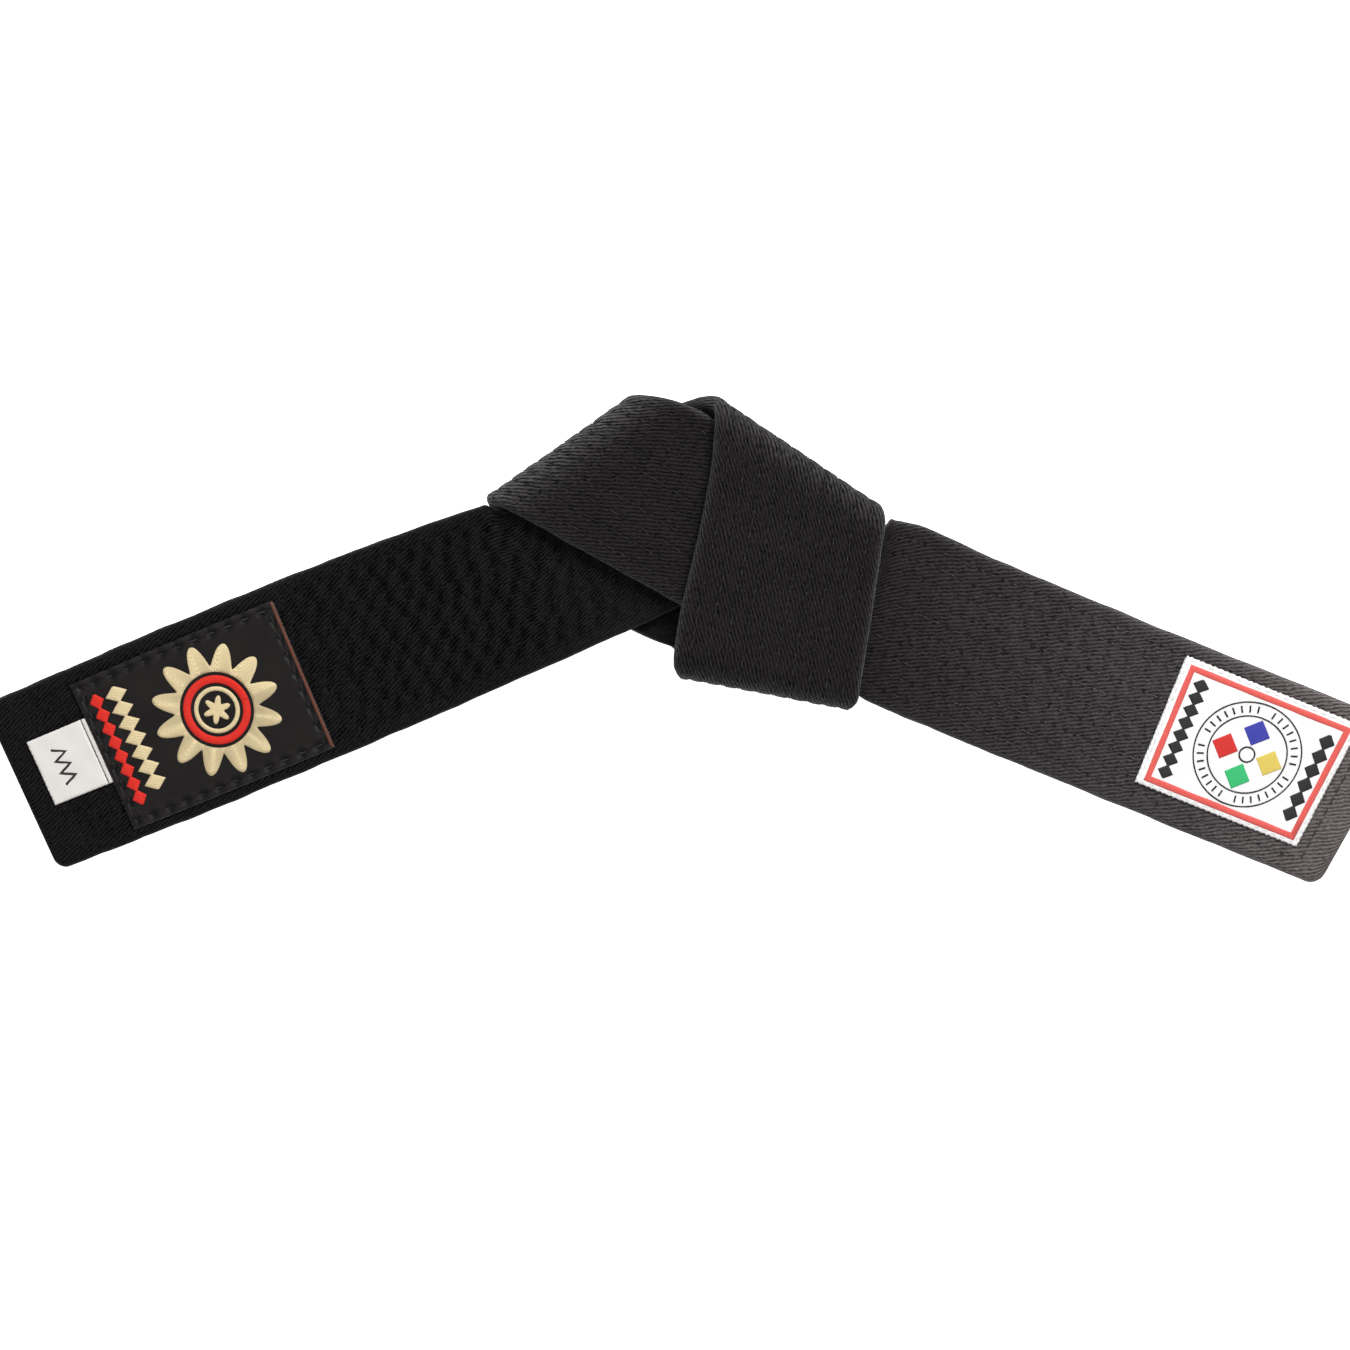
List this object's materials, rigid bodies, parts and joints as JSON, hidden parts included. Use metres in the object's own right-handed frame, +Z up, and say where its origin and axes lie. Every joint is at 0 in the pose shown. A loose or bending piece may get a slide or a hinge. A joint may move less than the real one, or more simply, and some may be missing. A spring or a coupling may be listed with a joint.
{
  "type": "martial arts belt",
  "caption": "Black quilted cotton martial arts belt tied in a flat overhand knot, with an embroidered patch, a small size tag and a woven label on its tails.",
  "frame": {"origin": "centre of the belt's footprint, on the flat surface it rests on", "axes": "+X from the patched tail towards the labelled tail, +Y towards the top of the knot, +Z up, away from the resting surface and out of the knot's front"},
  "size_m": [0.3545, 0.1218, 0.0165],
  "materials": {
    "knot_shell": "black woven cotton",
    "knot_core_ply_1": "undyed cotton felt ply",
    "knot_core_ply_2": "undyed cotton felt ply",
    "knot_core_ply_3": "undyed cotton felt ply",
    "knot_quilting_front": "black sewing thread",
    "knot_quilting_back": "black sewing thread",
    "left_tail_shell": "black woven cotton",
    "left_tail_core_ply_1": "undyed cotton felt ply",
    "left_tail_core_ply_2": "undyed cotton felt ply",
    "left_tail_core_ply_3": "undyed cotton felt ply",
    "left_tail_quilting_front": "black sewing thread",
    "left_tail_quilting_back": "black sewing thread",
    "left_end_stitching": "black sewing thread",
    "patch_ground": "black satin weave",
    "patch_stitching": "black sewing thread",
    "patch_selvedge": "red-brown woven edge",
    "patch_emblem_outer_ring": "cream satin embroidery",
    "patch_emblem_inner_ring": "cream satin embroidery",
    "patch_emblem_red_ring": "red satin embroidery",
    "patch_emblem_star": "cream satin embroidery",
    "patch_cream_row": "cream satin embroidery",
    "patch_red_row": "red satin embroidery",
    "right_tail_shell": "black woven cotton",
    "right_tail_core_ply_1": "undyed cotton felt ply",
    "right_tail_core_ply_2": "undyed cotton felt ply",
    "right_tail_core_ply_3": "undyed cotton felt ply",
    "right_tail_quilting_front": "black sewing thread",
    "right_tail_quilting_back": "black sewing thread",
    "right_end_stitching": "black sewing thread",
    "label_ground": "white woven satin",
    "label_stitching": "white sewing thread",
    "label_border": "red woven thread",
    "label_outer_ring": "dark woven thread",
    "label_inner_ring": "dark woven thread",
    "label_hub": "dark woven thread",
    "label_diamond_blue": "blue woven thread",
    "label_diamond_yellow": "yellow woven thread",
    "label_diamond_green": "green woven thread",
    "label_diamond_red": "red woven thread",
    "label_row_inner": "dark woven thread",
    "label_row_outer": "dark woven thread",
    "size_tag_ribbon": "white woven satin",
    "size_tag_mark": "dark woven thread"
  },
  "bodies": {
    "knot": {"knot_shell": "knot_shell", "knot_core_ply_1": "knot_core_ply_1", "knot_core_ply_2": "knot_core_ply_2", "knot_core_ply_3": "knot_core_ply_3", "knot_quilting_front": "knot_quilting_front", "knot_quilting_back": "knot_quilting_back"},
    "left_tail": {"left_tail_shell": "left_tail_shell", "left_tail_core_ply_1": "left_tail_core_ply_1", "left_tail_core_ply_2": "left_tail_core_ply_2", "left_tail_core_ply_3": "left_tail_core_ply_3", "left_tail_quilting_front": "left_tail_quilting_front", "left_tail_quilting_back": "left_tail_quilting_back", "left_end_stitching": "left_end_stitching", "patch_ground": "patch_ground", "patch_stitching": "patch_stitching", "patch_selvedge": "patch_selvedge", "patch_emblem_outer_ring": "patch_emblem_outer_ring", "patch_emblem_inner_ring": "patch_emblem_inner_ring", "patch_emblem_red_ring": "patch_emblem_red_ring", "patch_emblem_star": "patch_emblem_star", "patch_cream_row": "patch_cream_row", "patch_red_row": "patch_red_row"},
    "right_tail": {"right_tail_shell": "right_tail_shell", "right_tail_core_ply_1": "right_tail_core_ply_1", "right_tail_core_ply_2": "right_tail_core_ply_2", "right_tail_core_ply_3": "right_tail_core_ply_3", "right_tail_quilting_front": "right_tail_quilting_front", "right_tail_quilting_back": "right_tail_quilting_back", "right_end_stitching": "right_end_stitching", "label_ground": "label_ground", "label_stitching": "label_stitching", "label_border": "label_border", "label_outer_ring": "label_outer_ring", "label_inner_ring": "label_inner_ring", "label_hub": "label_hub", "label_diamond_blue": "label_diamond_blue", "label_diamond_yellow": "label_diamond_yellow", "label_diamond_green": "label_diamond_green", "label_diamond_red": "label_diamond_red", "label_row_inner": "label_row_inner", "label_row_outer": "label_row_outer"},
    "size_tag": {"size_tag_ribbon": "size_tag_ribbon", "size_tag_mark": "size_tag_mark"}
  },
  "joints": [
    {"name": "left_tail_bend", "type": "hinge", "parent": "knot", "child": "left_tail", "pos_m": [-0.05004, 0.01108, 0.00609], "axis": [-0.3778, 0.9259, 0], "range_deg": [0, 75], "stiffness_Nm_per_rad": 0.01},
    {"name": "right_tail_bend", "type": "hinge", "parent": "knot", "child": "right_tail", "pos_m": [0.06062, 0.00162, 0.00881], "axis": [-0.3071, -0.9517, 0], "range_deg": [0, 75], "stiffness_Nm_per_rad": 0.01},
    {"name": "size_tag_lift", "type": "hinge", "parent": "left_tail", "child": "size_tag", "pos_m": [-0.15002, -0.02842, 0.00451], "axis": [-0.4097, 0.9122, 0], "range_deg": [0, 120], "stiffness_Nm_per_rad": 0.00002}
  ]
}
